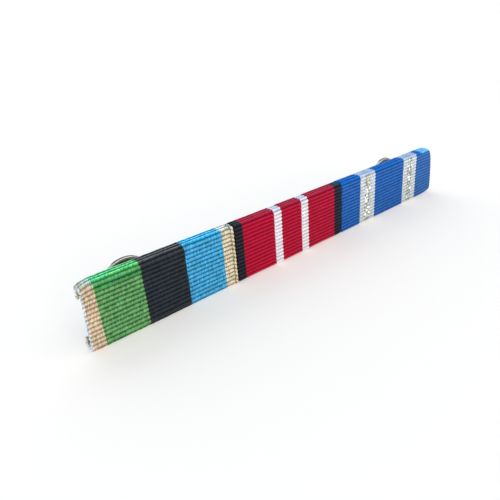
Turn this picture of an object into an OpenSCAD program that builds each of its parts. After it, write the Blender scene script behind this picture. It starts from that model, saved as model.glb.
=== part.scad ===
// Ribbon bar: three ribbed medal ribbons folded over one metal plate, with two pins
// soldered to the plate's back and a round spring clutch pushed onto each pin.
// It stands on its long lower edge with the front towards -Y and the pins towards +Y.
// The origin is on the ground, under the middle of the whole bar.

/* [Bar] */
// Height of the bar over the folded ribbons
bar_h = 12.7; // [9:0.1:18]
// Thickness of the metal plate that the ribbons are folded over
plate_t = 0.8; // [0.5:0.1:2]
// Length of ribbon that stands past the plate's left end
left_overhang = 2; // [0:0.1:5]
// Length of ribbon that stands past the plate's right end
right_overhang = 3.4; // [0:0.1:5]
// Clearance between the plate and the cloth around it
plate_gap = 0.08; // [0.04:0.01:0.3]

/* [Ribbons] */
// Width of the left ribbon
left_w = 31.7; // [20:0.1:45]
// Width of the middle ribbon
middle_w = 32; // [20:0.1:45]
// Width of the right ribbon
right_w = 37.7; // [20:0.1:45]
// Clearance between one ribbon and the next
ribbon_gap = 0.1; // [0.05:0.05:0.5]
// Thickness of the cloth in the furrows between its ribs
cloth_t = 1; // [1:0.05:1.4]
// Height of a rib over the furrows
rib_h = 0.12; // [0.04:0.02:0.24]
// Distance between the ribs of the left ribbon
coarse_pitch = 0.84; // [0.5:0.02:1.5]
// Distance between the ribs of the middle and right ribbons
fine_pitch = 0.8; // [0.5:0.02:1.5]
// Inner radius of the cloth's folds
fold_r = 0.1; // [0.05:0.01:0.4]
// Height of the flap that hangs behind the top edge
top_flap = 3.2; // [2:0.1:5]
// Height of the flap that stands behind the lower edge
low_flap = 2; // [1.8:0.1:4]
// How far the left ribbon's outer edge leans inwards at the top
edge_lean = 0.45; // [0:0.05:1.5]

/* [Pins] */
// Length of a pin behind the plate
pin_l = 8.5; // [7.5:0.1:12]
// Diameter of a pin
pin_d = 1.1; // [0.8:0.05:1.4]
// Distance from each end of the plate to the pin there
pin_inset = 9.2; // [7:0.1:20]
// Diameter of the soldered foot of a pin
foot_d = 2.8; // [2:0.1:4]
// Height of the soldered foot
foot_h = 0.4; // [0.2:0.05:0.6]
// Length of the cone at the tip
tip_l = 1; // [0.5:0.1:1.4]
// Diameter of the blunt end of the tip
tip_d = 0.3; // [0.2:0.05:0.5]
// Number of grip grooves around a pin
groove_count = 3; // [1:1:3]
// Distance between the grip grooves
groove_pitch = 1.35; // [0.8:0.05:1.4]
// Width of a grip groove
groove_w = 0.55; // [0.2:0.05:0.7]
// Depth of a grip groove
groove_depth = 0.17; // [0.05:0.01:0.25]
// Distance from the tip to the groove that the clutch grips
grip_from_tip = 1.925; // [1.7:0.025:2.4]

/* [Clutches] */
// Diameter of the clutch disc, which stands on the ground behind the bar
disc_d = 11.7; // [10:0.1:14]
// Thickness of the clutch disc
disc_t = 0.4; // [0.3:0.05:0.8]
// Width of the raised rim around the front of the disc
rim_w = 0.5; // [0.3:0.05:1]
// Height of the raised rim
rim_h = 0.3; // [0.1:0.05:0.5]
// Clearance between the pin and the hole in the disc
bore_gap = 0.05; // [0.02:0.01:0.1]
// Thickness of the spring strip
spring_t = 0.35; // [0.2:0.05:0.5]
// Width of the spring strip
spring_w = 3.8; // [3:0.1:4.4]
// Clearance between the spring and the pieces next to it
spring_gap = 0.1; // [0.05:0.01:0.2]
// Distance from the pin's axis to the spring's side loops
loop_x = 2.3; // [2:0.1:3]
// Centreline radius of the spring's side loops
loop_r = 0.7; // [0.6:0.05:1]
// Distance from the pin's axis to the end of a wing
wing_x = 5.6; // [4.5:0.1:7]
// How far a wing rises from the grip to its end
wing_rise = 1.2; // [0.8:0.1:1.6]
// How strongly a wing curls up towards its end, where 1 leaves it straight
wing_curl = 1.5; // [1:0.1:2]
// Width of a wing at its end
wing_end_w = 2.2; // [1.6:0.1:3]
// Length of the lips that hold the spring to the disc
lip_l = 2.4; // [1.5:0.1:3]
// Thickness of the lips
lip_t = 0.35; // [0.2:0.05:0.5]
// How far a lip reaches over the edge of the spring
lip_reach = 0.6; // [0.3:0.05:0.9]

/* [Hidden] */
$fn = 64;

// The cloth's section, seen from the left end with the front at zero
wrap_t = cloth_t + rib_h;
bar_t = plate_t + 2 * plate_gap + 2 * wrap_t;
inner_r = min(fold_r, plate_t / 2);
outer_r = inner_r + cloth_t;
quarter_l = outer_r * PI / 2;

// Places along the bar
total_w = left_w + middle_w + right_w + 2 * ribbon_gap;
left_x = -total_w / 2;
middle_x = left_x + left_w + ribbon_gap;
right_x = middle_x + middle_w + ribbon_gap;
plate_x = left_x + left_overhang;
plate_l = total_w - left_overhang - right_overhang;
plate_h = bar_h - 2 * (wrap_t + plate_gap);
pin_xs = [plate_x + pin_inset, plate_x + plate_l - pin_inset];

// Places from front to back, with the pin's tip as the rearmost point
plate_back = wrap_t + plate_gap + plate_t;
front_y = -(plate_back + pin_l) / 2;
spring_base = rim_h + disc_t + spring_gap + spring_t / 2;
jaw_level = spring_base + 2 * loop_r;
grip_y = plate_back + pin_l - grip_from_tip;
disc_y = grip_y - jaw_level;
pin_z = disc_d / 2;

// The straight legs of the folded cloth along its furrows, each followed by a quarter
// turn: start across the bar, start height, heading in degrees and length
LEG_Y = 0;
LEG_Z = 1;
LEG_HEADING = 2;
LEG_LENGTH = 3;
near_y = rib_h + outer_r;
far_y = bar_t - near_y;
low_z = rib_h + outer_r;
high_z = bar_h - low_z;
legs = [
    [bar_t - rib_h, low_flap, -90, low_flap - low_z],
    [far_y, rib_h, 180, far_y - near_y],
    [rib_h, low_z, 90, high_z - low_z],
    [near_y, bar_h - rib_h, 0, far_y - near_y],
    [bar_t - rib_h, high_z, -90, top_flap - low_z]
];
last_leg = len(legs) - 1;
leg_starts = [
    for (i = 0, s = 0; i <= last_leg; s = s + legs[i][LEG_LENGTH] + quarter_l, i = i + 1) s
];
cloth_l = leg_starts[last_leg] + legs[last_leg][LEG_LENGTH];

// Shares of a rib's width at which its rounded top is drawn
rib_shares = [0, 0.1, 0.3, 0.5, 0.7, 0.9];
fold_shares = [0, 1 / 3, 2 / 3];

// Margin by which a cutting body passes the surface that it cuts
cut_margin = 1;

function direction(angle) = [cos(angle), sin(angle)];

// Point that lies out of the furrow line by a given height, s millimetres along the cloth
function cloth_point(s, out, i = 0) =
    let (
        leg = legs[i],
        start = [leg[LEG_Y], leg[LEG_Z]],
        past = s - leg[LEG_LENGTH],
        heading = leg[LEG_HEADING],
        outward = heading + 90
    )
    past <= 0 || i == last_leg
        ? start + s * direction(heading) + out * direction(outward)
        : past < quarter_l
        ? let (turn = 90 * past / quarter_l)
          start + leg[LEG_LENGTH] * direction(heading) - outer_r * direction(outward)
              + (outer_r + out) * direction(outward - turn)
        : cloth_point(past - quarter_l, out, i + 1);

// Height of a rib's rounded top at a share of its width
function rib_height(share) = rib_h * sqrt(max(0, 1 - pow(2 * share - 1, 2)));

function ribbed_side(pitch) =
    let (count = round(cloth_l / pitch), step = cloth_l / count)
    [
        for (k = [0 : count - 1], share = rib_shares)
            cloth_point((k + share) * step, rib_height(share)),
        cloth_point(cloth_l, 0)
    ];

function smooth_side() = [
    for (i = [0 : last_leg])
        let (end = leg_starts[i] + legs[i][LEG_LENGTH])
        each concat(
            [cloth_point(leg_starts[i], -cloth_t)],
            i < last_leg ? [for (share = fold_shares) cloth_point(end + share * quarter_l, -cloth_t)] : []
        ),
    cloth_point(cloth_l, -cloth_t)
];

function reversed(points) = [for (i = [len(points) - 1 : -1 : 0]) points[i]];

// Points on the two sides of a bent strip, from its centreline points
function strip_side(line, offset) = [
    for (i = [0 : len(line) - 1])
        let (
            before = line[max(0, i - 1)],
            after = line[min(len(line) - 1, i + 1)],
            along = (after - before) / norm(after - before)
        )
        line[i] + offset * [-along[1], along[0]]
];
function strip_outline(line, thickness) =
    concat(strip_side(line, thickness / 2), reversed(strip_side(line, -thickness / 2)));

// Carries an outline drawn across and up the bar along its length
module along_bar(x, length) {
    translate([x, front_y, 0])
        rotate([90, 0, 90])
            linear_extrude(length) children();
}

// Stands a turned body with its foot at the given distance behind the front face
module on_pin_axis(x, y) {
    translate([x, front_y + y, pin_z]) rotate([-90, 0, 0]) children();
}

module cloth_fold(x, width, pitch) {
    along_bar(x, width) polygon(concat(ribbed_side(pitch), reversed(smooth_side())));
}

module ribbon_left() {
    slope = edge_lean / bar_h;
    color("forestgreen")
        difference() {
            cloth_fold(left_x, left_w, coarse_pitch);
            translate([left_x, front_y + bar_t + cut_margin, 0])
                rotate([90, 0, 0])
                    linear_extrude(bar_t + 2 * cut_margin)
                        polygon([
                            [-cut_margin, -cut_margin],
                            [-slope * cut_margin, -cut_margin],
                            [edge_lean + slope * cut_margin, bar_h + cut_margin],
                            [-cut_margin, bar_h + cut_margin]
                        ]);
        }
}

module ribbon_middle() {
    color("crimson") cloth_fold(middle_x, middle_w, fine_pitch);
}

module ribbon_right() {
    color("royalblue") cloth_fold(right_x, right_w, fine_pitch);
}

// Half outline of a pin with its foot, grip grooves and pointed tip
function pin_outline() =
    let (
        r = pin_d / 2,
        first_grip = pin_l - grip_from_tip - (groove_count - 1) * groove_pitch,
        grooves = [
            for (k = [0 : groove_count - 1])
                let (middle = first_grip + k * groove_pitch)
                each [
                    [r, middle - groove_w / 2],
                    [r - groove_depth, middle - groove_w / 2],
                    [r - groove_depth, middle + groove_w / 2],
                    [r, middle + groove_w / 2]
                ]
        ]
    )
    concat(
        [[0, -plate_t / 2], [foot_d / 2, -plate_t / 2], [foot_d / 2, foot_h], [r, foot_h]],
        grooves,
        [[r, pin_l - tip_l], [tip_d / 2, pin_l], [0, pin_l]]
    );

module mounting_bar() {
    color("silver") {
        translate([plate_x, front_y + plate_back - plate_t, wrap_t + plate_gap])
            cube([plate_l, plate_t, plate_h]);
        for (x = pin_xs)
            on_pin_axis(x, plate_back) rotate_extrude() polygon(pin_outline());
    }
}

// Half outline of the clutch disc, with its rounded rim at the front
function disc_outline() =
    let (
        r = disc_d / 2,
        bore_r = pin_d / 2 + bore_gap,
        rim_steps = 8,
        back = rim_h + disc_t
    )
    concat(
        [[bore_r, back], [bore_r, rim_h]],
        [
            for (k = [0 : rim_steps])
                let (turn = 180 - 180 * k / rim_steps)
                [r - rim_w / 2 + rim_w / 2 * cos(turn), rim_h - rim_h * sin(turn)]
        ],
        [[r, back]]
    );

// One lip: a wall beside the spring's base and a shelf that reaches over its edge
function lip_outline() =
    let (
        wall_z = spring_w / 2 + spring_gap,
        foot = rim_h + disc_t / 2,
        shelf = spring_base + spring_t / 2 + spring_gap
    )
    [
        [wall_z, foot],
        [wall_z, shelf],
        [spring_w / 2 - lip_reach, shelf],
        [spring_w / 2 - lip_reach, shelf + lip_t],
        [wall_z + lip_t, shelf + lip_t],
        [wall_z + lip_t, foot]
    ];

module clutch_disc(x) {
    color("dimgray") {
        on_pin_axis(x, disc_y) rotate_extrude() polygon(disc_outline());
        for (side = [0, 1])
            on_pin_axis(x, disc_y)
                mirror([0, side, 0])
                    translate([-lip_l / 2, 0, 0])
                        rotate([90, 0, 90])
                            linear_extrude(lip_l) polygon(lip_outline());
    }
}

// Centreline of the spring's base with both side loops, which end at the grip
function base_line() =
    let (
        loop_steps = 8,
        jaw_x = pin_d / 2 + spring_gap,
        half = concat(
            [for (k = [0 : loop_steps])
                let (turn = -90 + 180 * k / loop_steps)
                [loop_x + loop_r * cos(turn), spring_base + loop_r + loop_r * sin(turn)]],
            [[jaw_x, jaw_level]]
        )
    )
    concat(reversed([for (p = half) [-p[0], p[1]]]), half);

// Centreline of one wing, which curls up a little at its end
function wing_line() =
    let (
        jaw_x = pin_d / 2 + spring_gap,
        wing_steps = 6
    )
    [
        for (k = [0 : wing_steps])
            let (share = k / wing_steps)
            [jaw_x + share * (wing_x - jaw_x), jaw_level + wing_rise * pow(share, wing_curl)]
    ];

module across_spring(width) {
    translate([0, width / 2, 0]) rotate([90, 0, 0]) linear_extrude(width) children();
}

// Outline of both wings seen from behind, full width at the loops and narrow at the ends
function wings_plan() =
    let (
        round_steps = 8,
        end_r = wing_end_w / 2,
        half = [
            [0, -spring_w / 2],
            [loop_x + loop_r, -spring_w / 2],
            for (k = [0 : round_steps])
                let (turn = -90 + 180 * k / round_steps)
                [wing_x - end_r + end_r * cos(turn), end_r * sin(turn)],
            [loop_x + loop_r, spring_w / 2],
            [0, spring_w / 2]
        ]
    )
    concat(half, reversed([for (p = half) if (p[0] > 0) [-p[0], p[1]]]));

module clutch_spring(x) {
    hole_r = pin_d / 2 + spring_gap;
    color("gray")
        on_pin_axis(x, disc_y)
            difference() {
                union() {
                    across_spring(spring_w) polygon(strip_outline(base_line(), spring_t));
                    intersection() {
                        for (side = [0, 1])
                            mirror([side, 0, 0])
                                across_spring(spring_w + 2 * cut_margin)
                                    polygon(strip_outline(wing_line(), spring_t));
                        linear_extrude(jaw_level + wing_rise + cut_margin) polygon(wings_plan());
                    }
                }
                cylinder(h = jaw_level + wing_rise, r = hole_r);
            }
}

mounting_bar();
ribbon_left();
ribbon_middle();
ribbon_right();
clutch_disc(pin_xs[0]);  // clutch_disc_left
clutch_disc(pin_xs[1]);  // clutch_disc_right
clutch_spring(pin_xs[0]);  // clutch_spring_left
clutch_spring(pin_xs[1]);  // clutch_spring_right
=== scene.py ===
import math

import bmesh
import bpy
from mathutils import Matrix, Vector


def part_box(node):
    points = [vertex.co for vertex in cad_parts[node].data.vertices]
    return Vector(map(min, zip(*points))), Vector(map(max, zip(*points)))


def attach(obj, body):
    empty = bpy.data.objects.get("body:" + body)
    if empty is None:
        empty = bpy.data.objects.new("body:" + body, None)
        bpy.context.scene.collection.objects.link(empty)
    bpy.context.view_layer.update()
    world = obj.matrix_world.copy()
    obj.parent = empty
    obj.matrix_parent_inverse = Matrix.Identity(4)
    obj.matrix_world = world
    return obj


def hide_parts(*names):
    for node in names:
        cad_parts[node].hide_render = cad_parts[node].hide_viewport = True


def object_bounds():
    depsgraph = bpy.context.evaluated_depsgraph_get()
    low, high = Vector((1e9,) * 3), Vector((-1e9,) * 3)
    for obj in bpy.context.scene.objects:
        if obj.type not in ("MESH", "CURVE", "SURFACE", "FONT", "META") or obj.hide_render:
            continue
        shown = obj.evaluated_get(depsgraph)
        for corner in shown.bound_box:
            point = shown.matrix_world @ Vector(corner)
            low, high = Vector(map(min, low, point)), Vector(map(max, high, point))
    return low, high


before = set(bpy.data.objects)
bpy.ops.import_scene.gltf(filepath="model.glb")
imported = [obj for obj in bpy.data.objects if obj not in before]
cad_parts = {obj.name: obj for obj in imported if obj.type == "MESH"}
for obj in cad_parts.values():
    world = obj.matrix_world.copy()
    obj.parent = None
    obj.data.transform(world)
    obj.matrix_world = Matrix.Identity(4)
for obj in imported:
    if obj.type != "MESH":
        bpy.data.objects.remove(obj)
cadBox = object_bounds()
mm = 0.001  # metres
print("frame loaded:", ", ".join(sorted(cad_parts)))


# Node trees

class Wire:
    # a node's socket that can stand in a formula

    def __init__(self, tree, socket=None):
        self.tree = tree
        self.socket = socket

    def add(self, kind, sockets=(), out=0, stops=(), **settings):
        node = self.tree.nodes.new(kind)
        for key, value in settings.items():
            setattr(node, key, value)
        for step, (place, color) in enumerate(stops):
            ramp = node.color_ramp.elements
            stop = ramp[step] if step < len(ramp) else ramp.new(place)
            stop.position = place
            stop.color = (*color, 1)
        for key, value in dict(sockets).items():
            if isinstance(value, Wire):
                self.tree.links.new(value.socket, node.inputs[key])
            else:
                node.inputs[key].default_value = value
        return Wire(self.tree, node.outputs[out])

    def also(self, out):  # another output of the same node
        return Wire(self.tree, self.socket.node.outputs[out])

    def calc(self, operation, *others):
        return self.add("ShaderNodeMath", enumerate((self, *others)), operation=operation)

    def clamp(self):
        return self.add("ShaderNodeClamp", {0: self})

    def vector(self, operation, other):
        place = "Scale" if operation == "SCALE" else 1
        return self.add("ShaderNodeVectorMath", {0: self, place: other}, operation=operation)

    def rise(self, start, width):  # from 0 at the start up to 1
        return ((self - start) / width).clamp()

    def fall(self, end, width):  # from 1 down to 0 at the end
        return ((end - self) / width).clamp()

    def fade(self, width):  # from 1 at nothing down to 0 at the width
        return (1 - self / width).clamp()

    def smooth(self):  # a share, eased in and out
        return self * self * (3 - self * 2)

    def blend(self, low, high):  # a colour between two, by this value
        return self.add("ShaderNodeMix", {0: self, 6: low, 7: high}, out=2, data_type="RGBA")

    def __add__(self, other):
        return self.calc("ADD", other)

    def __sub__(self, other):
        return self.calc("SUBTRACT", other)

    def __rsub__(self, other):
        return self.add("ShaderNodeMath", {0: other, 1: self}, operation="SUBTRACT")

    def __mul__(self, other):
        return self.calc("MULTIPLY", other)

    def __truediv__(self, other):
        return self.calc("DIVIDE", other)

    def __pow__(self, other):
        return self.calc("POWER", other)

    __radd__ = __add__
    __rmul__ = __mul__


socketKinds = {float: "NodeSocketFloat", int: "NodeSocketInt", bpy.types.Material: "NodeSocketMaterial"}


def startTree(name, sizes):
    tree = bpy.data.node_groups.new(name, "GeometryNodeTree")
    tree.interface.new_socket("Geometry", in_out="INPUT", socket_type="NodeSocketGeometry")
    for label, value in sizes.items():
        tree.interface.new_socket(label, in_out="INPUT", socket_type=socketKinds[type(value)])
    tree.interface.new_socket("Geometry", in_out="OUTPUT", socket_type="NodeSocketGeometry")
    wire = Wire(tree)
    given = wire.add("NodeGroupInput")
    return wire, given.also


def endTree(wire, geometry, material):
    whole = wire.add("GeometryNodeRealizeInstances", {0: geometry})
    whole = wire.add("GeometryNodeSetMaterial", {"Geometry": whole, "Material": material})
    out = wire.tree.nodes.new("NodeGroupOutput")
    wire.tree.links.new(whole.socket, out.inputs[0])


def newPiece(name, data):
    piece = bpy.data.objects.new(name, data)
    bpy.context.scene.collection.objects.link(piece)
    return piece


def plainMesh(piece):  # the piece's mesh with its modifiers worked in
    bpy.context.view_layer.update()
    graph = bpy.context.evaluated_depsgraph_get()
    return bpy.data.meshes.new_from_object(
        piece.evaluated_get(graph), preserve_all_data_layers=True, depsgraph=graph)


def grow(name, host, tree, sizes):  # runs a tree on a host and keeps the result as a plain piece
    modifier = host.modifiers.new(tree.name, "NODES")
    modifier.node_group = tree
    for item in tree.interface.items_tree:
        if item.in_out == "INPUT" and item.name in sizes:
            modifier[item.identifier] = sizes[item.name]
    mesh = plainMesh(host)
    bpy.data.objects.remove(host)
    return newPiece(name, mesh)


def startMaterial(name, **constants):
    material = bpy.data.materials.new(name)
    material.use_nodes = True
    tree = material.node_tree
    tree.nodes.clear()
    shader = tree.nodes.new("ShaderNodeBsdfPrincipled")
    out = tree.nodes.new("ShaderNodeOutputMaterial")
    tree.links.new(shader.outputs[0], out.inputs[0])
    for key, value in constants.items():
        shader.inputs[key].default_value = value
    return material, Wire(tree), shader


def feed(shader, **links):
    for key, wire in links.items():
        wire.tree.links.new(wire.socket, shader.inputs[key.replace("_", " ")])


def noiseAt(wire, x, y, z, detail):  # noise about zero at a place on the cloth
    place = wire.add("ShaderNodeCombineXYZ", {0: x, 1: y, 2: z})
    return wire.add("ShaderNodeTexNoise", {"Vector": place, "Scale": 1.0, "Detail": detail}) - 0.5


# Ribbons

# each dye on the ribs' crests, darker in the furrows between them as painted shade, and a lighter, cooler
# painted lit copy for the top side over the top edge
dyes = {
    "selvedge": ((0.72, 0.77, 0.77), (0.38, 0.40, 0.38), (0.78, 0.91, 0.95)),
    "buff": ((0.60, 0.47, 0.33), (0.28, 0.20, 0.11), (0.68, 0.83, 0.72)),
    "straw": ((0.69, 0.60, 0.43), (0.20, 0.17, 0.074), (0.90, 0.92, 0.82)),
    "green": ((0.125, 0.32, 0.115), (0.007, 0.11, 0.011), (0.19, 0.80, 0.27)),
    "black": ((0.019, 0.025, 0.033), (0.0005, 0.0035, 0.007), (0.125, 0.128, 0.134)),
    "jetBlack": ((0.020, 0.024, 0.034), (0.005, 0.005, 0.010), (0.018, 0.022, 0.030)),
    "lightBlue": ((0.060, 0.37, 0.62), (0.0005, 0.11, 0.24), (0.09, 0.66, 0.97)),
    "crimson": ((0.50, 0.002, 0.050), (0.26, 0.0005, 0.006), (0.45, 0.004, 0.044)),
    "white": ((0.84, 0.82, 0.86), (0.55, 0.52, 0.55), (0.70, 0.75, 0.84)),
    "silverWhite": ((0.64, 0.69, 0.72), (0.43, 0.47, 0.49), (0.45, 0.57, 0.75)),
    "metalGround": ((0.50, 0.55, 0.53), (0.23, 0.27, 0.23), (0.42, 0.52, 0.66)),
    "royalBlue": ((0.032, 0.137, 0.44), (0.006, 0.074, 0.29), (0.0005, 0.138, 0.51)),
    # a slightly lighter blue for the right ribbon's last blue stripe
    "lighterBlue": ((0.050, 0.160, 0.44), (0.014, 0.088, 0.29), (0.0005, 0.138, 0.51)),
    # painted shade along the right selvedge, where the cloth turns away from the light
    "shadedEdge": ((0.006, 0.035, 0.12), (0.002, 0.015, 0.06), (0.0005, 0.10, 0.30)),
}

fold = {  # mm
    "topRadius": 0.95,      # outer radius of the folds over the top edge
    "lowRadius": 0.7,       # and under the lower edge
    "topFlap": 3.2,         # how far the ribbon hangs behind the top edge
    "lowFlap": 2.0,         # how far it stands behind the lower edge
    "bodyThickness": 0.9,   # fills the space in front of the plate
    "edgeThickness": 0.5,   # cloth seen at its selvedges and cut ends
    "taper": 1.8,           # width over which one turns into the other
    "edgeRound": 0.25,      # round of the selvedges
    "foldSteps": 24,
    "columns": 150,
    "rows": 250,
    "edgeColumns": 7,
}

straightRibbon = {  # what the middle and right ribbons share
    "pitch": 0.80, "yarn": 0.17, "twist": 0.3, "furrow": 0.5, "topFrom": 11.8,
    "lean": 0.0, "notch": 0.0, "droop": 0.0, "cordWidth": 0.0,
    "topTeal": 0.0, "bendShade": 0.0, "bendShadeStripe": (0, 0),
}

ribbons = {
    "left": {
        "seed": 3,
        "pitch": 0.84, "relief": 0.30,                # of the ribs, mm
        "lean": 0.45, "notch": 0.25, "droop": 0.75,   # of the left end, mm
        "cordWidth": 0.7,                             # of the cord along the right selvedge, mm
        "slack": 0.0,                                 # 1 where the right end is bent
        "yarn": 0.16, "twist": 0.25,                  # a yarn's width, mm, and its slant
        "speckle": 0.5, "flecks": 0.045,              # how much yarns differ in brightness and hue
        "gloss": 0.2, "luster": 0.4,
        "furrow": 0.2,                                # share of a rib's height that gets the painted furrow shade
        "topFrom": 12.0, "topFlat": -0.8,             # height from which the top side is painted with light, mm, and its plainness
        "topTeal": 0.06, "bendShade": 0.24,           # painted hue and shade of the green on the top side and as it bends over
        "bendShadeStripe": (2.7, 11.2),                    # the stripe that gets the most painted bend shade, mm
        "lowShade": 0.1,                              # how much painted shade darkens the front towards its lower edge
        "stripes": [(0, "selvedge"), (0.3, "buff"), (2.72, "green"), (11.23, "black"),
                    (20.17, "lightBlue"), (28.66, "straw")],
    },
    "middle": {
        **straightRibbon,
        "seed": 11,
        "relief": 0.24, "slack": 0.0,
        "speckle": 0.18, "flecks": 0.006,
        "gloss": 0.1, "luster": 0.25,
        "topFlat": 0.7, "lowShade": 0.05,
        "stripes": [(0, "jetBlack"), (2.01, "crimson"), (10.48, "white"), (12.57, "crimson"),
                    (18.53, "white"), (20.63, "crimson"), (29.36, "jetBlack")],
    },
    "right": {
        **straightRibbon,
        "seed": 23,
        "relief": 0.19, "slack": 1.0,
        "speckle": 0.24, "flecks": 0.01,
        "gloss": 0.03, "luster": 0.12,
        "topFlat": 0.8, "lowShade": 0.2,
        "cornerSheen": (32.4, 37.3),                         # where a painted highlight lies on its top corner, mm
        "stripes": [(0, "royalBlue"), (6.86, "silverWhite"), (8.75, "metalGround"), (10.55, "silverWhite"),
                    (12.62, "royalBlue"), (24.77, "silverWhite"), (26.85, "metalGround"),
                    (28.65, "silverWhite"), (30.66, "lighterBlue"), (37.35, "shadedEdge")],
    },
}

clothLook = {
    "fibres": (7, 2),              # how often single fibres change across and along, per mm
    "clouds": (0.3, 0.5),          # and broad soft patches
    "boundaryWander": 0.12,        # of the stripes' boundaries, mm
    "boundaryBlend": 0.06,
    "crestBlend": 0.45,            # share of a rib's height over which the painted furrow shade turns into the crest colour
    "topBlend": 0.6,               # height over which the painted light of the top side sets in, mm
    "topFurrow": 0.42,             # brightness of the painted shade in its furrows
    "bend": (10.7, 12.2),          # heights between which the front bends over, mm
    "bendBlend": (0.6, 0.4),
    "stripeBlend": 0.1,
    "tealWidth": 9,                # how far from the left selvedge the green's painted top light is teal, mm
    "flecksWidth": 30,             # width over which the yarns grow more alike, mm
    "sheenFrom": 11.9,              # height of the painted highlight patch, mm
    "sheenBlend": (1.2, 0.5, 0.5),  # at its left, its right and below
    "sheenColor": (0.16, 0.58, 0.96, 1),
    "roughness": 0.52,
    "bumpHeight": 0.03,            # mm
}


def stripeShades(across, stripes):
    # the dye at a place across the ribbon: on a crest, in a furrow with painted shade, and the painted lit
    # copy for the top side
    shades = [(*shade, 1) for shade in dyes[stripes[0][1]]]
    for start, dye in stripes[1:]:
        past = ((across - start) / clothLook["boundaryBlend"] + 0.5).clamp()
        shades = [past.blend(old, (*new, 1)) for old, new in zip(shades, dyes[dye])]
    return shades


def paintedCornerSheen(across, level, fibre, cloud, span):
    # a painted highlight, pale cyan, at the top corner, uneven from fibre to fibre
    leftBlend, rightBlend, lowBlend = clothLook["sheenBlend"]
    patch = across.rise(span[0], leftBlend) * across.fall(span[1], rightBlend)
    patch = patch * level.rise(clothLook["sheenFrom"], lowBlend)
    return (patch * (fibre * 2.2 + cloud * 2 + 0.95)).clamp()


def clothMaterial(name, ribbon):
    material, wire, shader = startMaterial(name, **{
        "Specular IOR Level": ribbon["gloss"], "Metallic": ribbon["luster"],
    })
    across, along, crest = (wire.add("ShaderNodeAttribute", out="Fac", attribute_name=label)
                            for label in ("across", "along", "crest"))
    spot = wire.add("ShaderNodeTexCoord", out="Object")
    level = wire.add("ShaderNodeSeparateXYZ", {0: spot}, out="Z") / mm

    # yarns that differ one by one, their fibres, and broad soft patches
    seed = float(ribbon["seed"])
    yarn = (across - along * ribbon["twist"]) / ribbon["yarn"]
    cell = wire.add("ShaderNodeCombineXYZ", {
        0: yarn.calc("FLOOR"), 1: (along / ribbon["pitch"]).calc("FLOOR"), 2: seed})
    speck = wire.add("ShaderNodeTexWhiteNoise", {"Vector": cell}, noise_dimensions="3D") - 0.5
    tint = wire.add("ShaderNodeTexWhiteNoise", {"Vector": cell}, out="Color", noise_dimensions="3D")
    tint = wire.add("ShaderNodeSeparateXYZ", {0: tint}, out="Y") - 0.5
    fibresAcross, fibresAlong = clothLook["fibres"]
    fibre = noiseAt(wire, across * fibresAcross, along * fibresAlong, seed, 3.0)
    cloudsAcross, cloudsAlong = clothLook["clouds"]
    cloud = noiseAt(wire, across * cloudsAcross, along * cloudsAlong, 5.0, 2.0)

    # woven-in stripes, each boundary a little uneven from rib to rib
    wandering = across + fibre * clothLook["boundaryWander"]
    onCrest, furrowShaded, topLit = stripeShades(wandering, ribbon["stripes"])
    # painted light: over the top edge the dyes turn to their lighter, cooler lit copy, with painted shade in
    # its furrows
    over = level.rise(ribbon["topFrom"], clothLook["topBlend"])  # on the fold over the top edge
    uneven = (speck + fibre) * ribbon["speckle"] * (1.5 - over)
    # painted shade: below the crest the dye darkens to its furrow colour
    lift = ((crest - ribbon["furrow"]) / clothLook["crestBlend"] + uneven + over * ribbon["topFlat"]).clamp()
    topFurrowShade = topLit.vector("MULTIPLY", topLit).vector("SCALE", clothLook["topFurrow"])
    color = lift.blend(over.blend(furrowShaded, topFurrowShade), over.blend(onCrest, topLit))
    if "cornerSheen" in ribbon:
        # painted highlight on the right ribbon's top corner
        color = paintedCornerSheen(across, level, fibre, cloud, ribbon["cornerSheen"]).blend(color, clothLook["sheenColor"])

    # painted shade: a darker band where the front bends over, most of all on one stripe
    (bendFrom, bendTo), (bendIn, bendOut) = clothLook["bend"], clothLook["bendBlend"]
    bent = level.rise(bendFrom, bendIn) * level.fall(bendTo, bendOut)
    (first, last), blend = ribbon["bendShadeStripe"], clothLook["stripeBlend"]
    stripeBendShade = bent * across.rise(first, blend) * across.fall(last, blend)
    # painted hue shift towards teal on the green's lit top side and in the bend's painted shade
    paintedTeal = (over * across.fade(clothLook["tealWidth"]) + stripeBendShade * 0.5) * ribbon["topTeal"]
    flecks = (1.3 - across / clothLook["flecksWidth"]) * ribbon["flecks"]
    # painted shade: the front is a little darker towards its lower edge, and in the bend
    frontShade = (0.5 - level / (cadBox[1][2] / mm)) * ribbon["lowShade"]
    frontShade = frontShade + (bent * 0.3 + stripeBendShade * 0.7) * ribbon["bendShade"]
    dyed = wire.add("ShaderNodeHueSaturation", {
        "Hue": 0.5 + (tint + cloud * 0.3) * flecks + paintedTeal,
        "Saturation": 1 + stripeBendShade * ribbon["bendShade"] * 1.2,
        "Color": color,
        "Value": 1 + cloud * 0.25 + speck * ribbon["speckle"] - frontShade})

    roundYarn = (yarn * math.pi).calc("SINE").calc("ABSOLUTE")
    height = roundYarn * 0.6 + fibre * 0.8 + speck * 0.5
    bump = wire.add("ShaderNodeBump", {
        "Height": height, "Strength": 0.6, "Distance": clothLook["bumpHeight"] * mm})
    roughness = clothLook["roughness"] - crest * 0.12 + fibre * 0.2
    feed(shader, Base_Color=dyed, Roughness=roughness, Normal=bump)
    return material


def denseEnds(share, span, steps, edge, edgeSteps):
    # spreads grid lines over a span, closer together where the edges are round
    step = share * steps
    first = (step / edgeSteps).clamp()
    middle = ((step - edgeSteps) / (steps - 2 * edgeSteps)).clamp()
    last = ((step - steps + edgeSteps) / edgeSteps).clamp()
    return (first + last) * edge + middle * (span - edge * 2)


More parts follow.
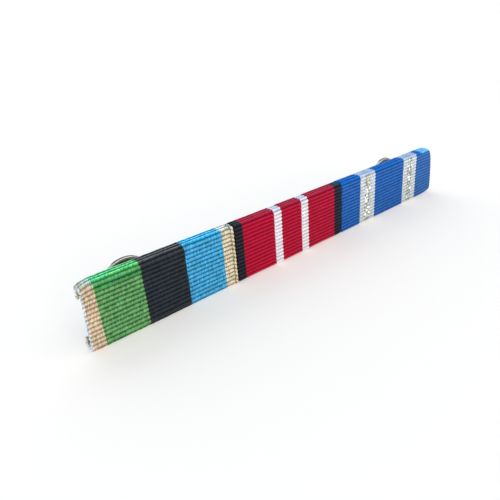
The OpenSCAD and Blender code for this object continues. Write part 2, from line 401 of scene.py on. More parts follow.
def foldedPath(wire, ask):
    # the host's corners rounded off, more at the top than below
    path = wire.add("GeometryNodeMeshToCurve", {"Mesh": ask("Geometry")})
    corner = wire.add("ShaderNodeSeparateXYZ", {0: wire.add("GeometryNodeInputPosition")}, out="Z")
    isTop = corner.calc("GREATER_THAN", ask("Height") * 0.5)
    radius = ask("Low Radius") + (ask("Top Radius") - ask("Low Radius")) * isTop
    return wire.add("GeometryNodeFilletCurve", {
        "Curve": path, "Radius": radius, "Count": ask("Fold Steps")}, mode="POLY")


def pathSample(wire, path, along):
    # a place along the path, and the direction out of the cloth there
    place = wire.add("GeometryNodeSampleCurve", {"Curves": path, "Length": along},
                     out="Position", mode="LENGTH")
    outward = wire.add("ShaderNodeVectorMath", {0: (1, 0, 0), 1: place.also("Tangent")},
                       operation="CROSS_PRODUCT")
    return place, outward


weave = {  # mm
    "wander": 0.14,           # how far the ribs stray
    "wanderSize": (9, 1.7),   # across and along
    "grainSize": (1.1, 0.8),  # of their uneven height
    "wave": 0.1,              # of the whole cloth
    "waveSize": (14, 8),
    "ribFade": 0.7,           # width over which the ribs die out at the right selvedge
    "cordBlend": 0.05,        # between the ribs and the cord
    "cordLeast": 0.1,         # a narrower cord is none
    "grooveWidth": 0.11,      # beside the cord
    "mergeWithin": 0.004,     # where the two sides meet
}

ends = {  # mm, how the ribbons bend where no plate holds them
    "leanWidth": 2.7,
    "sink": 0.35, "sinkWidth": 3.4, "sinkHeight": 3.0,   # of the right end's top corner
    "rise": 0.8, "riseWidth": 3.2, "riseHeight": 5,      # of its lower corner
    "drop": 0.7, "dropWidth": 1.5,                       # of its top corner
    "flare": (1.1, 1.2),                                 # of its lower half: at the bottom, and added above
    "droopWidth": 3,
    "notchWidth": 0.6,
}


def wovenRelief(wire, ask, across, along, inset):
    # ribs with a slight wander and uneven height
    cordWidth = ask("Cord Width")
    inCord = ((cordWidth - inset) / (weave["cordBlend"] * mm) + 0.5).clamp()
    hasCord = (cordWidth / (weave["cordLeast"] * mm)).clamp()
    inCord = inCord * hasCord
    slant = (cordWidth + weave["cordLeast"] * mm - inset).calc("MAXIMUM", 0.0) * 0.75 * hasCord
    (broad, tall), (narrow, short) = weave["wanderSize"], weave["grainSize"]
    seed = ask("Seed")
    wander = noiseAt(wire, across / (broad * mm), along / (tall * mm), seed, 1.0)
    grain = noiseAt(wire, across / (narrow * mm), along / (short * mm), seed + 7, 2.0)
    phase = (along + slant + wander * ask("Wander")) / ask("Pitch")
    crest = (phase * math.pi).calc("SINE").calc("ABSOLUTE")
    ribHeight = ask("Relief") * crest * (1 + grain * 0.5 + wander * 0.4)
    ribHeight = ribHeight * (inset / (weave["ribFade"] * mm)).clamp()

    # the cord stands a little over the ribs, beside a narrow groove
    belly = 1 - ((inset * 2 / (cordWidth + 1e-6) - 1) ** 2).clamp()
    cordHeight = belly.calc("SQRT") * ask("Relief") * (0.55 + crest * 0.75)
    fromGroove = ((inset - cordWidth) / (weave["grooveWidth"] * mm)) ** 2
    inGroove = (fromGroove * -1).calc("EXPONENT")
    groove = inGroove * ask("Relief") * 1.1 * hasCord
    height = ribHeight * (1 - inCord) + cordHeight * inCord - groove
    # the groove beside the cord gets the furrows' painted shade too
    shown = crest * (1 - inGroove * hasCord)
    return height, crest, shown


def clothSides(wire, ask, across, along, inset, span, height):
    # how far the two sides lie off the path: selvedges and cut ends are round, and thinner than the middle
    near = across.calc("MINIMUM", inset)
    near = near.calc("MINIMUM", along).calc("MINIMUM", span - along)
    turn = 1 - (near / ask("Edge Round")).clamp()
    bow = (1 - turn * turn).calc("MAXIMUM", 0.0).calc("SQRT")
    half = ask("Edge Thickness") * 0.5
    full = ((near - ask("Edge Round")) / ask("Taper")).clamp().smooth()
    thickness = ask("Edge Thickness") + (ask("Body Thickness") - ask("Edge Thickness")) * full
    broad, tall = weave["waveSize"]
    wave = noiseAt(wire, across / (broad * mm), along / (tall * mm), ask("Seed"), 0.0) * ask("Wave")
    outer = height * bow - half * (1 - bow) + wave
    inner = (thickness - half * (1 - bow)) * -1 + wave
    return outer, inner


def bentEnds(wire, ask, across, inset, crest, place):
    # a place on the path moved to where the loose ends of the ribbons bend
    onPath = wire.add("ShaderNodeSeparateXYZ", {0: place})
    y, z = onPath.also("Y"), onPath.also("Z")
    slack = ask("Slack")
    x = ask("Left") + across + across.fade(ends["leanWidth"] * mm) * ask("Lean") * z / ask("Height")

    # past the plate's end the front of the right ribbon falls back at its top corner
    beyond = inset.fade(ends["sinkWidth"] * mm).smooth()
    highBend = (ask("Height") - z).fade(ends["sinkHeight"] * mm) ** 2 * (ends["sink"] * mm)
    toBack = ((ask("Back") - y) / ask("Depth")).clamp()
    y = y + highBend * beyond * toBack * slack

    # its corners are rounded, and the end stands out a little below
    lowCorner = inset.fade(ends["riseWidth"] * mm) ** 2 * slack
    z = z + lowCorner * z.fade(ends["riseHeight"] * mm) * (ends["rise"] * mm)
    upShare = z / ask("Height")
    highShare = upShare ** 6
    z = z - inset.fade(ends["dropWidth"] * mm) ** 2 * slack * highShare * (ends["drop"] * mm)
    flare, more = ends["flare"]
    x = x + beyond * (1 - upShare).clamp() * (upShare * more + flare) * slack * mm

    # the left end droops at the top, and the weft's turns leave notches in its selvedge
    z = z - across.fade(ends["droopWidth"] * mm) ** 2 * ask("Droop") * highShare
    x = x + (1 - crest) * across.fade(ends["notchWidth"] * mm) * ask("Notch")
    return wire.add("ShaderNodeCombineXYZ", {0: x, 1: y, 2: z})


def ribbonTree(sizes):
    wire, ask = startTree("folded ribbed ribbon", sizes)
    path = foldedPath(wire, ask)
    span = wire.add("GeometryNodeCurveLength", {"Curve": path})
    grid = wire.add("GeometryNodeMeshGrid", {
        "Size X": 1.0, "Size Y": 1.0, "Vertices X": ask("Columns"), "Vertices Y": ask("Rows")})
    share = wire.add("ShaderNodeSeparateXYZ", {0: wire.add("GeometryNodeInputPosition")})
    edge, edgeColumns = ask("Edge Round"), ask("Edge Columns")
    across = denseEnds(share + 0.5, ask("Width"), ask("Columns") - 1, edge, edgeColumns)
    along = denseEnds(share.also("Y") + 0.5, span, ask("Rows") - 1, edge, edgeColumns)
    inset = ask("Width") - across  # distance from the right selvedge

    height, crest, shown = wovenRelief(wire, ask, across, along, inset)
    outer, inner = clothSides(wire, ask, across, along, inset, span, height)
    place, outward = pathSample(wire, path, along)
    base = bentEnds(wire, ask, across, inset, crest, place)
    both = wire.tree.nodes.new("GeometryNodeJoinGeometry")
    for offset, isInner in ((outer, False), (inner, True)):
        spot = base.vector("ADD", outward.vector("SCALE", offset))
        side = grid
        for label, value in (("across", across / mm), ("along", along / mm), ("crest", shown)):
            side = wire.add("GeometryNodeStoreNamedAttribute", {
                "Geometry": side, "Name": label, "Value": value}, data_type="FLOAT", domain="POINT")
        side = wire.add("GeometryNodeSetPosition", {"Geometry": side, "Position": spot})
        if isInner:
            side = wire.add("GeometryNodeFlipFaces", {"Mesh": side})
        wire.tree.links.new(side.socket, both.inputs[0])
    cloth = wire.add("GeometryNodeMergeByDistance", {
        "Geometry": Wire(wire.tree, both.outputs[0]), "Distance": weave["mergeWithin"] * mm})
    cloth = wire.add("GeometryNodeSetShadeSmooth", {"Geometry": cloth})
    endTree(wire, cloth, ask("Material"))
    return wire.tree


def pathHost(name, low, high, inset):
    # corners of the cloth's path from the lower flap, under and up the front, to the top flap
    front, back = low.y + inset, high.y - inset
    bottom, top = low.z + inset, high.z - inset
    corners = [
        (back, fold["lowFlap"] * mm), (back, bottom), (front, bottom),
        (front, top), (back, top), (back, high.z - fold["topFlap"] * mm),
    ]
    mesh = bpy.data.meshes.new(name)
    mesh.from_pydata([(0, y, z) for y, z in corners], [(i, i + 1) for i in range(5)], [])
    return newPiece(name, mesh)


def makeRibbon(side, ribbon):
    node = "ribbon_" + side
    low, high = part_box(node)
    material = clothMaterial(side + " ribbon cloth", ribbon)
    relief = ribbon["relief"]
    sizes = {
        "Left": low.x,
        "Width": high.x - low.x,
        "Height": high.z,
        "Top Radius": (fold["topRadius"] - relief) * mm,
        "Low Radius": (fold["lowRadius"] - relief) * mm,
        "Fold Steps": fold["foldSteps"],
        "Columns": fold["columns"],
        "Rows": fold["rows"],
        "Edge Columns": fold["edgeColumns"],
        "Edge Round": fold["edgeRound"] * mm,
        "Edge Thickness": fold["edgeThickness"] * mm,
        "Body Thickness": (fold["bodyThickness"] - relief) * mm,
        "Taper": fold["taper"] * mm,
        "Pitch": ribbon["pitch"] * mm,
        "Relief": relief * mm,
        "Wander": weave["wander"] * mm,
        "Wave": weave["wave"] * mm,
        "Lean": ribbon["lean"] * mm,
        "Slack": ribbon["slack"],
        "Notch": ribbon["notch"] * mm,
        "Droop": ribbon["droop"] * mm,
        "Back": high.y,
        "Depth": high.y - low.y,
        "Cord Width": ribbon["cordWidth"] * mm,
        "Seed": float(ribbon["seed"]),
        "Material": material,
    }
    host = pathHost(node + "_path", low, high, relief * mm)
    piece = grow(node + "_cloth", host, ribbonTree(sizes), sizes)
    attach(piece, "bar")
    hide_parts(node)
    print(piece.name, len(piece.data.polygons), "faces")
    return piece


# Metal thread in the right ribbon's white stripes

thread = {  # mm
    "seed": 31,
    "middles": {"first": 9.65, "second": 27.75},  # across the ribbon
    "lanes": 5,
    "laneGap": 0.38,
    "showing": 0.7,             # share of the places where the thread is on top
    "length": 0.40,             # half the length of one float over a rib
    "width": 0.25,              # and half its width
    "height": 0.10,             # and height
    "sizes": (0.7, 1.15),       # the smallest and largest float against these
    "tilts": (0.45, 0.7, 0.5),  # how far a float may be turned about X, Y and Z, radians
    "lift": 0.02,               # over the ribs' crests
    "jitter": 0.14,
    "lowClear": 0.8,            # none shows on the folds below
    "topClear": 1.0,            # and above
    "glints": [(0.0, (0.46, 0.46, 0.36)), (0.3, (0.62, 0.62, 0.54)), (0.45, (0.94, 0.95, 0.93)),
               (1.0, (0.98, 0.98, 0.97))],
    "grain": 9000.0,
    "bumpHeight": 0.02,
}


def threadMaterial():
    material, wire, shader = startMaterial("metal thread", Metallic=1.0)
    glint = wire.add("ShaderNodeAttribute", out="Fac", attribute_name="glint")
    spot = wire.add("ShaderNodeTexCoord", out="Object")
    grain = wire.add("ShaderNodeTexNoise", {"Vector": spot, "Scale": thread["grain"], "Detail": 2.0})
    tone = wire.add("ShaderNodeValToRGB", {"Fac": glint}, stops=thread["glints"])
    bump = wire.add("ShaderNodeBump", {
        "Height": grain, "Strength": 0.4, "Distance": thread["bumpHeight"] * mm})
    feed(shader, Base_Color=tone, Roughness=0.38 - glint * 0.2 + (grain - 0.5) * 0.1, Normal=bump)
    return material


def threadTree(sizes):
    wire, ask = startTree("metal thread floats", sizes)
    path = foldedPath(wire, ask)
    span = wire.add("GeometryNodeCurveLength", {"Curve": path})
    lanes = ask("Lanes")
    ribCount = (span / ask("Pitch")).calc("FLOOR")
    spots = wire.add("GeometryNodePoints", {"Count": ribCount * lanes})
    index = wire.add("GeometryNodeInputIndex")
    rib = (index / lanes + 0.001).calc("FLOOR")
    lane = index - rib * lanes

    def chance(low, high, salt):
        return wire.add("FunctionNodeRandomValue", {
            2: low, 3: high, "ID": index, "Seed": ask("Seed") + salt}, out=1, data_type="FLOAT")

    jitter = ask("Jitter")
    along = (rib + 0.5) * ask("Pitch") + jitter * chance(-1.0, 1.0, 1)
    across = ask("Middle") + (lane - (lanes - 1) * 0.5) * ask("Lane Gap") + jitter * chance(-1.0, 1.0, 2)
    onPath, outward = pathSample(wire, path, along)
    aside = wire.add("ShaderNodeCombineXYZ", {0: across})
    place = onPath.vector("ADD", outward.vector("SCALE", ask("Lift"))).vector("ADD", aside)
    spots = wire.add("GeometryNodeSetPosition", {"Geometry": spots, "Position": place})

    # each float is a small flattened ball, turned a little by chance
    ball = wire.add("GeometryNodeMeshIcoSphere", {"Radius": 1.0, "Subdivisions": 2})
    size = wire.add("ShaderNodeCombineXYZ", {
        0: ask("Float Width"), 1: ask("Float Length"), 2: ask("Float Height")})
    grown = size.vector("SCALE", chance(*thread["sizes"], 3))
    facing = wire.add("FunctionNodeAlignRotationToVector", {"Vector": outward}, axis="Z", pivot_axis="X")
    tilts = [chance(-most, most, salt) for salt, most in enumerate(thread["tilts"], 4)]
    tilt = wire.add("FunctionNodeEulerToRotation", {0: wire.add("ShaderNodeCombineXYZ", enumerate(tilts))})
    turned = wire.add("FunctionNodeRotateRotation", {0: facing, 1: tilt}, rotation_space="LOCAL")
    # none show on the folds over the top edge and under the lower one
    z = wire.add("ShaderNodeSeparateXYZ", {0: onPath}, out="Z")
    flat = z.calc("LESS_THAN", ask("Height") - thread["topClear"] * mm)
    flat = flat * z.calc("GREATER_THAN", thread["lowClear"] * mm)
    shown = chance(0.0, 1.0, 7).calc("LESS_THAN", ask("Showing") * flat)
    floats = wire.add("GeometryNodeInstanceOnPoints", {
        "Points": spots, "Selection": shown, "Instance": ball, "Rotation": turned, "Scale": grown})
    floats = wire.add("GeometryNodeStoreNamedAttribute", {
        "Geometry": floats, "Name": "glint", "Value": chance(0.0, 1.0, 8)},
        data_type="FLOAT", domain="INSTANCE")
    endTree(wire, floats, ask("Material"))
    return wire.tree


def makeThreads():
    node = "ribbon_right"
    ribbon = ribbons["right"]
    low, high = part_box(node)
    material = threadMaterial()
    made = []
    for number, (name, middle) in enumerate(thread["middles"].items()):
        sizes = {
            "Height": high.z,
            "Top Radius": fold["topRadius"] * mm,
            "Low Radius": fold["lowRadius"] * mm,
            "Fold Steps": fold["foldSteps"],
            "Middle": low.x + middle * mm,
            "Pitch": ribbon["pitch"] * mm,
            "Lanes": thread["lanes"],
            "Lane Gap": thread["laneGap"] * mm,
            "Lift": thread["lift"] * mm,
            "Jitter": thread["jitter"] * mm,
            "Showing": thread["showing"],
            "Float Width": thread["width"] * mm,
            "Float Length": thread["length"] * mm,
            "Float Height": thread["height"] * mm,
            "Seed": thread["seed"] + number,
            "Material": material,
        }
        host = pathHost(name + "_thread_path", low, high, 0)
        piece = grow("metal_thread_" + name, host, threadTree(sizes), sizes)
        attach(piece, "bar")
        made.append(piece)
        print(piece.name, len(piece.data.polygons), "faces")
    return made


clothPieces = {side: makeRibbon(side, ribbon) for side, ribbon in ribbons.items()}
threads = makeThreads()


# Metal for the bar, pins and clutches

steelLook = {
    "dark": (0.40, 0.40, 0.39, 1), "bright": (0.70, 0.70, 0.69, 1), "burnt": (0.34, 0.27, 0.18, 1),
    "streaks": (350, 5000, 5000),          # brushed along the bar
    "stains": 260.0,
    "heatRadius": 1.9, "heatWidth": 0.9,   # of the brown ring round a soldered foot, mm
    "bumpHeight": 0.012,                   # mm
}

nickelLook = {
    "dark": (0.66, 0.64, 0.57, 1), "bright": (0.84, 0.82, 0.76, 1), "shadedTone": (0.10, 0.09, 0.06, 1),
    "stains": 420.0,
    "pits": 5200.0,
    "bumpHeight": 0.01,
}


def steelMaterial(pinPlaces):
    material, wire, shader = startMaterial("bar steel", Metallic=1.0)
    spot = wire.add("ShaderNodeTexCoord", out="Object")
    stretch = wire.add("ShaderNodeMapping", {"Vector": spot, "Scale": steelLook["streaks"]})
    streak = wire.add("ShaderNodeTexNoise", {"Vector": stretch, "Scale": 1.0, "Detail": 4.0})
    stain = wire.add("ShaderNodeTexNoise", {"Vector": spot, "Scale": steelLook["stains"], "Detail": 5.0})
    tone = ((streak - 0.5) * 1.2 + (stain - 0.5) * 0.9 + 0.55).clamp()
    tone = tone.blend(steelLook["dark"], steelLook["bright"])
    # heat and flux leave a brown ring on the plate round each soldered foot
    heat = None
    for place in pinPlaces:
        apart = spot.vector("SUBTRACT", place).vector("MULTIPLY", (1, 0, 1))
        away = wire.add("ShaderNodeVectorMath", {0: apart}, out="Value", operation="LENGTH") / mm
        ring = (1 - ((away - steelLook["heatRadius"]) / steelLook["heatWidth"]) ** 2).clamp()
        heat = ring if heat is None else heat + ring
    heat = (heat * (stain * 1.6 - 0.2)).clamp() * 0.6
    tone = heat.blend(tone, steelLook["burnt"])
    bump = wire.add("ShaderNodeBump", {
        "Height": streak + stain * 0.5, "Strength": 0.5, "Distance": steelLook["bumpHeight"] * mm})
    feed(shader, Base_Color=tone, Roughness=0.30 + (streak - 0.5) * 0.25 + heat * 0.3, Normal=bump)
    return material


def nickelMaterial():
    material, wire, shader = startMaterial("clutch nickel", Metallic=1.0)
    spot = wire.add("ShaderNodeTexCoord", out="Object")
    paintedDark = wire.add("ShaderNodeAttribute", out="Fac", attribute_name="paintedDark")
    stain = wire.add("ShaderNodeTexNoise", {"Vector": spot, "Scale": nickelLook["stains"], "Detail": 5.0})
    pits = wire.add("ShaderNodeTexNoise", {"Vector": spot, "Scale": nickelLook["pits"], "Detail": 3.0})
    tone = ((stain - 0.35) * 2.2).clamp().blend(nickelLook["dark"], nickelLook["bright"])
    # painted shade in the dish and a painted dark outline on the outer side, made uneven by the stains
    discShade = (paintedDark * (0.6 + stain * 0.6)).clamp()
    tone = discShade.blend(tone, nickelLook["shadedTone"])
    bump = wire.add("ShaderNodeBump", {
        "Height": pits + stain, "Strength": 0.1, "Distance": nickelLook["bumpHeight"] * mm})
    feed(shader, Base_Color=tone, Roughness=0.25 + (stain - 0.5) * 0.12 + discShade * 0.15, Normal=bump)
    return material


def arc(middle, radius, start, end, steps):
    # points of an arc, its angles in degrees
    turns = [math.radians(start + (end - start) * k / steps) for k in range(steps + 1)]
    return [(middle[0] + radius * math.cos(t), middle[1] + radius * math.sin(t)) for t in turns]


def turnOutline(bm, outline, place, steps, closed):
    # turns a half outline of (radius, y) in mm about an axis along Y through a place
    rings = []
    for radius, y in outline:
        if radius < 0.001:
            rings.append([bm.verts.new(place + Vector((0, y * mm, 0)))])
            continue
        turns = [2 * math.pi * k / steps for k in range(steps)]
        rings.append([bm.verts.new(place + Vector((radius * math.cos(t), y, radius * math.sin(t))) * mm)
                      for t in turns])
    pairs = list(zip(rings, rings[1:]))
    if closed:
        pairs.append((rings[-1], rings[0]))
    for one, two in pairs:
        for k in range(steps):
            corners = [one[k % len(one)], one[(k + 1) % len(one)]]
            corners += [two[(k + 1) % len(two)], two[k % len(two)]]
            bm.faces.new(list(dict.fromkeys(corners)))  # a ring on the axis is a single corner


def sweepStrip(bm, line, halfWidths, thickness, rounding, toPlace):
    # a bent strip of metal with rounded edges along a line of (a, y) points in mm
    rings = []
    for k, (a, y) in enumerate(line):
        before, after = line[max(0, k - 1)], line[min(len(line) - 1, k + 1)]
        run = Vector((after[0] - before[0], after[1] - before[1])).normalized()
        half, flat = halfWidths[k], thickness / 2
        bend = min(rounding, half * 0.9, flat * 0.95)
        ring = []
        for corner, (w, n) in enumerate([(1, 1), (-1, 1), (-1, -1), (1, -1)]):
            middle = (w * (half - bend), n * (flat - bend))
            for across, out in arc(middle, bend, corner * 90, corner * 90 + 90, 3):
                ring.append(bm.verts.new(toPlace(a - run.y * out, y + run.x * out, across)))
        rings.append(ring)
    for one, two in zip(rings, rings[1:]):
        for k in range(len(one)):
            bm.faces.new([one[k - 1], one[k], two[k], two[k - 1]])
    bm.faces.new(rings[0])
    bm.faces.new(rings[-1])


def meshOf(name, bm, material):
    bmesh.ops.recalc_face_normals(bm, faces=bm.faces[:])
    mesh = bpy.data.meshes.new(name)
    bm.to_mesh(mesh)
    bm.free()
    mesh.materials.append(material)
    return mesh


def smoothEdges(mesh, sharpFrom=35):  # degrees
    mesh.shade_smooth()
    mesh.set_sharp_from_angle(angle=math.radians(sharpFrom))


def combine(piece, other, operation):
    # cuts another piece from this one or joins it on, and keeps the result as a plain mesh
    modifier = piece.modifiers.new(operation, "BOOLEAN")
    modifier.operation = operation
    modifier.solver = "EXACT"
    modifier.object = other
    mesh = plainMesh(piece)
    piece.modifiers.clear()
    piece.data = mesh
    bpy.data.objects.remove(other)


pin = {  # mm
    "footRadius": 1.4, "footHeight": 0.4, "footWall": 0.08, "footRound": 0.22,
    "radius": 0.55, "tipRadius": 0.15, "tipLength": 1.0,
    "solderRound": 0.28, "solderRise": 0.24,   # where solder is drawn up the shank
    "sunk": 0.3,                               # how far the foot reaches into the plate
    "grooves": [3.675, 5.025, 6.375],          # grip grooves' distance behind the plate
    "grooveMouth": 0.315, "grooveFloor": 0.175, "grooveDepth": 0.17,   # half widths and depth
    "shoulder": [(0, -0.1), (-0.03, 0.05)],    # soft points about the start of the cone
    "steps": 40,
}
plate = {"thickness": 0.8, "edge": 0.14, "edgeSteps": 3}


def pinOutline(length):
    # from under the foot up the shank to the tip, as radius and distance behind the plate
    foot, footRound, wall = pin["footRadius"], pin["footRound"], pin["footWall"]
    radius, solder, tip = pin["radius"], pin["solderRound"], pin["tipRadius"]
    outline = [(0, -pin["sunk"]), (foot, -pin["sunk"]), (foot, wall)]
    outline += arc((foot - footRound, wall), footRound, 0, 70, 5)[1:]
    outline += arc((radius + solder, pin["footHeight"] + pin["solderRise"]), solder, -110, -180, 5)
    mouth, floor, bottom = pin["grooveMouth"], pin["grooveFloor"], radius - pin["grooveDepth"]
    for middle in pin["grooves"]:
        outline += [(radius, middle - mouth), (bottom, middle - floor)]
        outline += [(bottom, middle + floor), (radius, middle + mouth)]
    cone = length - pin["tipLength"]
    outline += [(radius + out, cone + up) for out, up in pin["shoulder"]]
    outline += [(tip + 0.05, length - 0.16)]
    outline += arc((0.02, length - tip), tip, 20, 90, 4)[:-1]
    return outline + [(0, length)]


def makeBar(pinPlaces):
    node = "mounting_bar"
    low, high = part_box(node)
    back = low.y + plate["thickness"] * mm
    steel = steelMaterial([tuple(place) for place in pinPlaces])
    bm = bmesh.new()
    bmesh.ops.create_cube(bm, size=1)
    size = Vector((high.x - low.x, back - low.y, high.z - low.z))
    middle = Vector((low.x + high.x, low.y + back, low.z + high.z)) / 2
    seat = Matrix.Translation(middle) @ Matrix.Diagonal(size).to_4x4()
    bmesh.ops.transform(bm, matrix=seat, verts=bm.verts[:])
    bmesh.ops.bevel(bm, geom=bm.edges[:], offset=plate["edge"] * mm, segments=plate["edgeSteps"],
                    profile=0.5, affect="EDGES")
    piece = newPiece("steel_bar_with_pins", meshOf(node, bm, steel))
    for place in pinPlaces:
        bm = bmesh.new()
        start = Vector((place.x, back, place.z))
        turnOutline(bm, pinOutline((high.y - back) / mm), start, pin["steps"], False)
        combine(piece, newPiece("pin", meshOf("pin", bm, steel)), "UNION")
    smoothEdges(piece.data)
    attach(piece, "bar")
    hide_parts(node)
    print(piece.name, len(piece.data.polygons), "faces")


disc = {  # mm
    "thickness": 0.4, "rimWidth": 0.5, "rimHeight": 0.3, "bore": 0.6, "steps": 96,
    "mouthRound": 0.12, "dishRound": 0.2, "rearRound": 0.14, "boreRound": 0.1,
    "lipLength": 2.4, "lipThickness": 0.35, "lipFoot": 0.5, "lipWall": 2.175, "lipLevel": 1.425,
    "lipBend": 0.3, "lipEnd": 1.3, "edge": 0.07,
    "dishFrom": -0.02, "dishReach": 0.1,   # depths from the dish's floor that get painted shade
    "sideDepth": 0.04, "leastShade": 0.2,   # depth of the outer side painted dark as an outline, and its least darkness all round
    "shadeFrom": 0.89, "shadeBlend": 0.06,   # darker from this share of the radius up
}


def discOutline(radius):
    # from the bore's front edge out over the dish, round the rim and back over the flat rear
    rim, rise = disc["rimWidth"] / 2, disc["rimHeight"]
    back = rise + disc["thickness"]
    mouth, dish = disc["mouthRound"], disc["dishRound"]
    rear, boreRound = disc["rearRound"], disc["boreRound"]
    outline = arc((disc["bore"] + mouth, rise + mouth), mouth, 180, 270, 4)
    outline += [(radius * 0.3, rise), (radius * 0.6, rise), (radius - 2 * rim - dish - 0.02, rise)]
    outline += arc((radius - 2 * rim - dish, rise - dish), dish, 90, 20, 4)
    outline += arc((radius - rim, rim), rim, 190, 360, 12)
    outline += arc((radius - rear, back - rear), rear, 0, 90, 4)
    outline += [(radius * 0.6, back), (radius * 0.3, back)]
    return outline + arc((disc["bore"] + boreRound, back - boreRound), boreRound, 90, 180, 4)


def paintDiscShade(mesh, place, radius):
    # painted shade: the dish is darkened, and the outer side is painted dark as an outline, most at the top
    start = place.y + (disc["rimHeight"] + disc["dishFrom"]) * mm
    end = start + disc["dishReach"] * mm
    shade = mesh.attributes.new("paintedDark", "FLOAT", "POINT")
    for vert in mesh.vertices:
        away = math.hypot(vert.co.x - place.x, vert.co.z - place.z) / mm
        inDish = start <= vert.co.y <= end and away < radius - disc["rimWidth"]
        onSide = away > radius - disc["sideDepth"]
        upShare = (vert.co.z - place.z) / mm / radius
        sideShade = disc["leastShade"] + min(max((upShare - disc["shadeFrom"]) / disc["shadeBlend"], 0), 1)
        shade.data[vert.index].value = sideShade if onSide else 1.0 if inDish else 0.0


def makeDisc(side, nickel):
    node = "clutch_disc_" + side
    low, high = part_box(node)
    radius = (high.x - low.x) / 2 / mm
    place = Vector(((low.x + high.x) / 2, low.y, (low.z + high.z) / 2))
    bm = bmesh.new()
    turnOutline(bm, discOutline(radius), place, disc["steps"], True)
    bend = disc["lipBend"]
    line = [(disc["lipWall"], disc["lipFoot"])]
    line += arc((disc["lipWall"] - bend, disc["lipLevel"] - bend), bend, 0, 90, 6)
    line += [(disc["lipEnd"], disc["lipLevel"])]
    halves = [disc["lipLength"] / 2] * len(line)
    for up in (1, -1):
        sweepStrip(bm, line, halves, disc["lipThickness"], disc["edge"],
                   lambda a, y, w: place + Vector((w, y, up * a)) * mm)
    mesh = meshOf(node, bm, nickel)
    paintDiscShade(mesh, place, radius)
    smoothEdges(mesh)
    piece = newPiece("pressed_disc_" + side, mesh)
    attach(piece, "clutch_" + side)
    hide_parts(node)
    print(piece.name, len(mesh.polygons), "faces")


spring = {  # mm
    "thickness": 0.3, "halfWidth": 1.9, "baseLevel": 0.975, "loopX": 2.3, "loopRadius": 0.62,
    "jawX": 0.78, "jawFold": 0.19, "wingX": 5.6, "wingRise": 0.95, "wingCurl": 1.5,
    "wingFull": 3.0, "wingEndRadius": 1.1, "wingLeast": 0.06, "wingSteps": 26, "edge": 0.08,
    "hole": 0.65, "holeSteps": 48, "holeReach": (0.4, 2.9),   # from before the base to behind the jaws
}


def springLine():
    # one half from the middle of the base round the loop to the jaw, and out along the wing
    level, loop, jaw = spring["baseLevel"], spring["loopRadius"], spring["jawFold"]
    top = level + 2 * loop
    jawMiddle = spring["jawX"] + jaw
    half = [(spring["loopX"] * k / 6, level) for k in range(1, 6)]
    half += arc((spring["loopX"], level + loop), loop, -90, 90, 14)
    half += [(spring["loopX"] * (1 - k / 4) + jawMiddle * k / 4, top) for k in range(1, 4)]
    half += arc((jawMiddle, top + jaw), jaw, -90, -270, 8)
    wing = []
    for k in range(1, spring["wingSteps"] + 1):
        share = math.sin(math.pi / 2 * k / spring["wingSteps"])
        x = jawMiddle + (spring["wingX"] - jawMiddle) * share
        wing.append((x, top + 2 * jaw + spring["wingRise"] * share ** spring["wingCurl"]))
    return half, wing


def wingHalfWidth(x):
    full, end = spring["halfWidth"], spring["wingEndRadius"]
    bend = spring["wingX"] - end
    if x <= spring["wingFull"]:
        return full
    if x <= bend:
        share = (x - spring["wingFull"]) / (bend - spring["wingFull"])
        return full + (end - full) * share * share * (3 - 2 * share)
    return max(spring["wingLeast"], math.sqrt(max(0, end ** 2 - (x - bend) ** 2)))


def makeSpring(side, nickel):
    node = "clutch_spring_" + side
    low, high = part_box("clutch_disc_" + side)
    place = Vector(((low.x + high.x) / 2, low.y, (low.z + high.z) / 2))
    half, wing = springLine()
    widths = [spring["halfWidth"]] * len(half) + [wingHalfWidth(x) for x, y in wing]
    right = half + wing
    line = [(-x, y) for x, y in reversed(right)] + [(0, spring["baseLevel"])] + right
    widths = widths[::-1] + [spring["halfWidth"]] + widths
    bm = bmesh.new()
    sweepStrip(bm, line, widths, spring["thickness"], spring["edge"],
               lambda a, y, w: place + Vector((a, y, w)) * mm)
    piece = newPiece("bent_spring_" + side, meshOf(node, bm, nickel))
    bm = bmesh.new()
    hole, (start, end) = spring["hole"], spring["holeReach"]
    outline = [(0, start), (hole, start), (hole, end), (0, end)]
    turnOutline(bm, outline, place, spring["holeSteps"], False)
    combine(piece, newPiece("hole", meshOf("hole", bm, nickel)), "DIFFERENCE")
    smoothEdges(piece.data)
    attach(piece, "clutch_" + side)
    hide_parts(node)
    print(piece.name, len(piece.data.polygons), "faces")


discBoxes = [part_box("clutch_disc_" + side) for side in ("left", "right")]
makeBar([Vector(((low.x + high.x) / 2, 0, (low.z + high.z) / 2)) for low, high in discBoxes])
nickel = nickelMaterial()
for side in ("left", "right"):
    makeDisc(side, nickel)
    makeSpring(side, nickel)


# Floor, light and camera

studio = {
    "cameraPlace": (-69.52, -73.21, 48.22),  # mm
    "turnRight": 38.40,   # degrees from straight ahead
    "lookDown": 25.81,
    "roll": 4.885,
    "lens": 34.25,
    "floorSize": 6.0,     # metres
    "floorDrop": 0.02,    # mm under the object
    "floorColors": ((0.772, 0.694, 0.622, 1), (0.787, 0.708, 0.635, 1)),
    "floorGlow": 0.328,   # like a lit sweep
    "sky": [(0.0, (1.0, 1.0, 1.0)), (0.32, (1.0, 1.0, 1.0)), (0.5, (0.42, 0.55, 0.68)),
            (1.0, (0.32, 0.46, 0.62))],
    # direction, strength, softness in degrees and colour
    "suns": {
        "high front light": ((-0.32, 0.60, -0.74), 0.62, 50, (1, 0.88, 0.77)),
        "low front light": ((0.15, 0.95, -0.27), 0.94, 32, (1, 0.88, 0.77)),
        "cool back light": ((-0.30, -0.83, -0.47), 1.4, 70, (0.83, 0.92, 1)),
    },
}


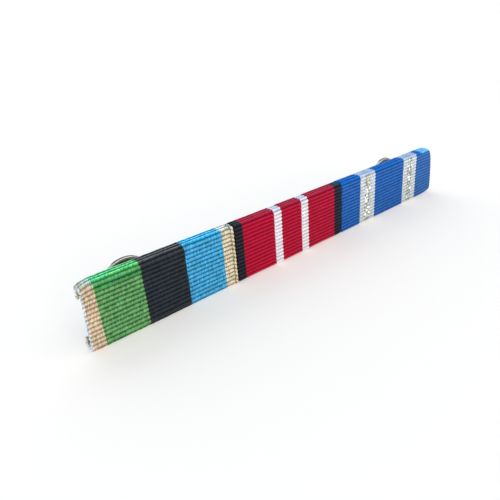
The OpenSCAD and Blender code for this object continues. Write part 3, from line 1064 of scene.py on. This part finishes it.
def makeFloor():
    mesh = bpy.data.meshes.new("floor")
    half = studio["floorSize"] / 2
    level = cadBox[0][2] - studio["floorDrop"] * mm
    corners = [(-half, -half), (half, -half), (half, half), (-half, half)]
    mesh.from_pydata([(x, y, level) for x, y in corners], [], [(0, 1, 2, 3)])
    floor = newPiece("floor", mesh)
    material, wire, shader = startMaterial("pale floor", **{
        "Roughness": 0.9, "Specular IOR Level": 0.0,
        "Emission Strength": studio["floorGlow"], "Emission Color": (1, 1, 1, 1)})
    spot = wire.add("ShaderNodeTexCoord", out="Object")
    cloud = wire.add("ShaderNodeTexNoise", {"Vector": spot, "Scale": 4.0, "Detail": 2.0})
    feed(shader, Base_Color=cloud.blend(*studio["floorColors"]))
    mesh.materials.append(material)


def makeSun(name, towards, strength, softness, color):
    light = bpy.data.lights.new(name, "SUN")
    light.energy = strength
    light.angle = math.radians(softness)
    light.color = color
    lamp = newPiece(name, light)
    lamp.rotation_euler = Vector(towards).to_track_quat("-Z", "Y").to_euler()


def makeWorld():
    # white at the horizon, dimmer and cool above it
    world = bpy.data.worlds.new("studio")
    bpy.context.scene.world = world
    world.use_nodes = True
    sky = world.node_tree.nodes["Background"]
    wire = Wire(world.node_tree)
    direction = wire.add("ShaderNodeTexCoord", out="Generated")
    height = wire.add("ShaderNodeSeparateXYZ", {0: direction}, out="Z")
    feed(sky, Color=wire.add("ShaderNodeValToRGB", {"Fac": height}, stops=studio["sky"]))


def makeCamera():
    camera = bpy.data.cameras.new("camera")
    camera.lens = studio["lens"]
    camera.clip_start = 0.001
    seat = newPiece("camera", camera)
    turn, down, roll = (math.radians(studio[key]) for key in ("turnRight", "lookDown", "roll"))
    ahead = Vector((math.sin(turn) * math.cos(down), math.cos(turn) * math.cos(down), -math.sin(down)))
    right = ahead.cross(Vector((0, 0, 1))).normalized()
    up = right.cross(ahead)
    tiltedUp = up * math.cos(roll) + right * math.sin(roll)
    axes = Matrix((ahead.cross(tiltedUp), tiltedUp, -ahead)).transposed()
    seat.matrix_world = Matrix.Translation(Vector(studio["cameraPlace"]) * mm) @ axes.to_4x4()
    bpy.context.scene.camera = seat


makeFloor()
makeWorld()
for name, (towards, strength, softness, color) in studio["suns"].items():
    makeSun(name, towards, strength, softness, color)
makeCamera()
bpy.context.scene.view_settings.view_transform = "Standard"
print("stage ready")
